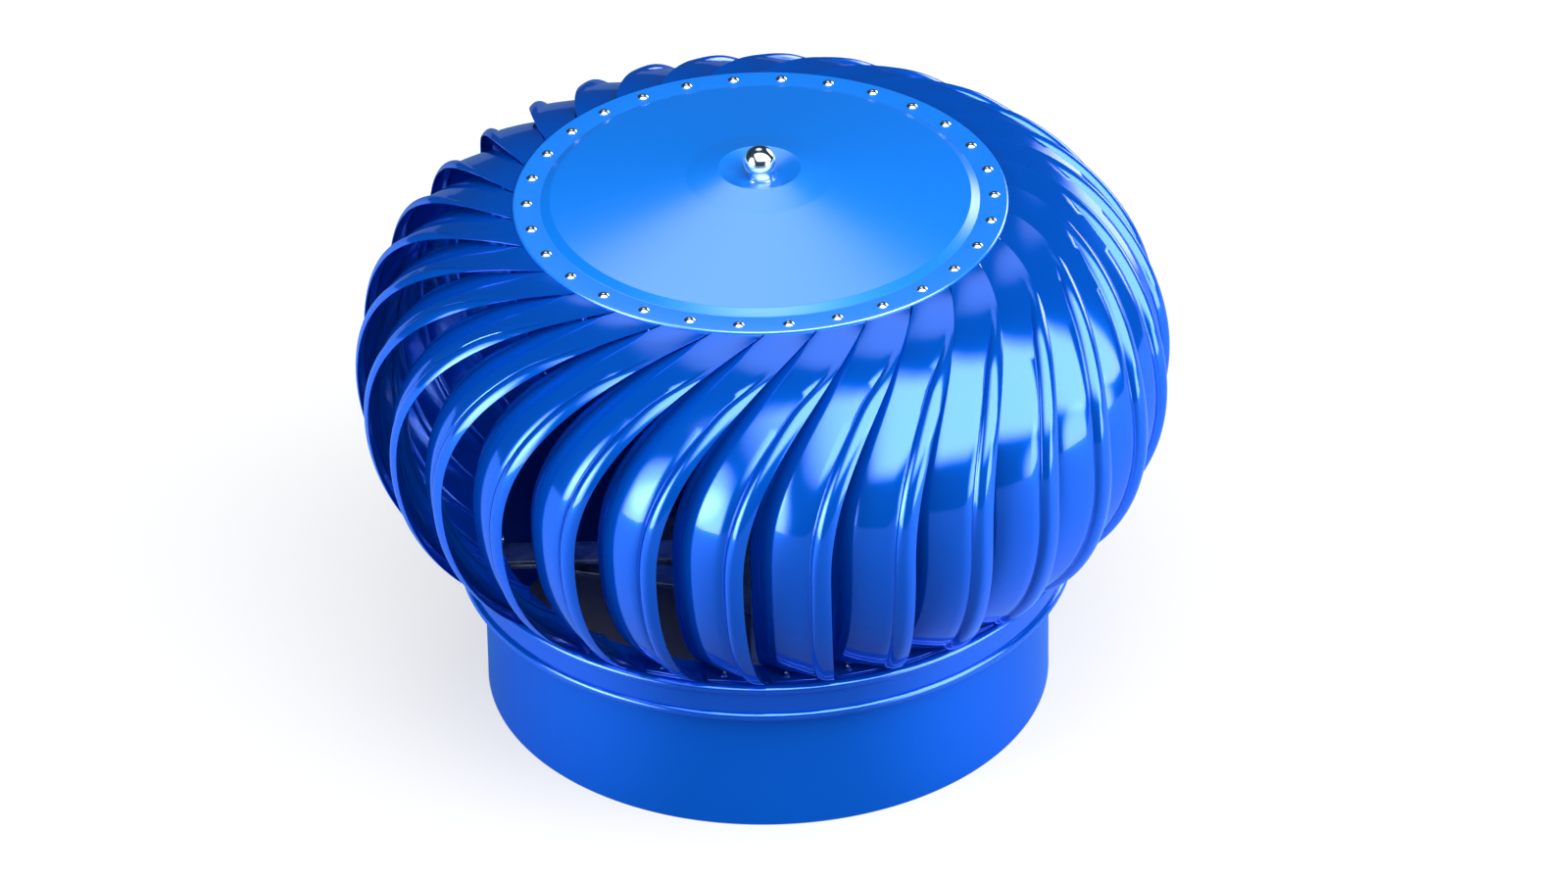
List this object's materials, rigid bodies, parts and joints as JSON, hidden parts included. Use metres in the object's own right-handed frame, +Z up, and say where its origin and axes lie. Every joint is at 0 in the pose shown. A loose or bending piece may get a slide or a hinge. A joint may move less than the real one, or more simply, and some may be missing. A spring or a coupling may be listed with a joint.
{
  "type": "turbine roof ventilator",
  "caption": "Wind-driven turbine roof ventilator: a round head of swept sheet-metal vanes between a beaded ring and a shallow cap, turning on a bearing shaft above a plain round throat.",
  "frame": {"origin": "centre of the throat's foot, on the level that it rests on", "axes": "+Z up along the rotor's axis, -Y towards the front of the picture, +X to its right"},
  "size_m": [0.7126, 0.71, 0.5372],
  "materials": {
    "blue_sheet": "glossy blue coated sheet steel",
    "galvanised_steel": "dull galvanised",
    "zinc_plated_steel": "bright zinc plated",
    "bearing_steel": "fine ground",
    "ground_steel": "turned and ground",
    "spring_steel": "dark phosphated",
    "black_plastic": "moulded matte",
    "pressed_aluminium": "plain spun",
    "chrome": "polished chrome",
    "rivet_aluminium": "bright drawn"
  },
  "bodies": {
    "base": {"throat": "blue_sheet", "bearing_arm_1": "galvanised_steel", "bearing_arm_2": "galvanised_steel", "bearing_arm_3": "galvanised_steel", "bearing_arm_4": "galvanised_steel", "bearing_brace_1": "galvanised_steel", "bearing_brace_2": "galvanised_steel", "bearing_brace_3": "galvanised_steel", "bearing_brace_4": "galvanised_steel", "arm_bolts": "zinc_plated_steel", "arm_nuts": "zinc_plated_steel", "arm_washers": "zinc_plated_steel", "bearing_tube": "galvanised_steel", "bearing_outer_rings": "bearing_steel", "bearing_circlips": "spring_steel", "dust_plug": "black_plastic"},
    "rotor": {"bearing_inner_rings": "bearing_steel", "bearing_spacer": "ground_steel", "rotor_shaft": "ground_steel", "shaft_foot_washer": "zinc_plated_steel", "shaft_foot_nut": "zinc_plated_steel", "rain_collar": "pressed_aluminium", "hub_nut": "zinc_plated_steel", "hub_plate": "galvanised_steel", "ball_nut": "chrome", "cap": "blue_sheet", "top_ring": "blue_sheet", "lower_ring": "blue_sheet", "cap_rivets": "rivet_aluminium", "ring_rivets": "rivet_aluminium", "vane_01": "blue_sheet", "vane_02": "blue_sheet", "vane_03": "blue_sheet", "vane_04": "blue_sheet", "vane_05": "blue_sheet", "vane_06": "blue_sheet", "vane_07": "blue_sheet", "vane_08": "blue_sheet", "vane_09": "blue_sheet", "vane_10": "blue_sheet", "vane_11": "blue_sheet", "vane_12": "blue_sheet", "vane_13": "blue_sheet", "vane_14": "blue_sheet", "vane_15": "blue_sheet", "vane_16": "blue_sheet", "vane_17": "blue_sheet", "vane_18": "blue_sheet", "vane_19": "blue_sheet", "vane_20": "blue_sheet", "vane_21": "blue_sheet", "vane_22": "blue_sheet", "vane_23": "blue_sheet", "vane_24": "blue_sheet", "vane_25": "blue_sheet", "vane_26": "blue_sheet", "vane_27": "blue_sheet", "vane_28": "blue_sheet", "vane_29": "blue_sheet", "vane_30": "blue_sheet"}
  },
  "joints": [
    {"name": "rotor_spin", "type": "hinge", "parent": "base", "child": "rotor", "pos_m": [0, 0, 0.15], "axis": [0, 0, 1], "continuous": true}
  ]
}
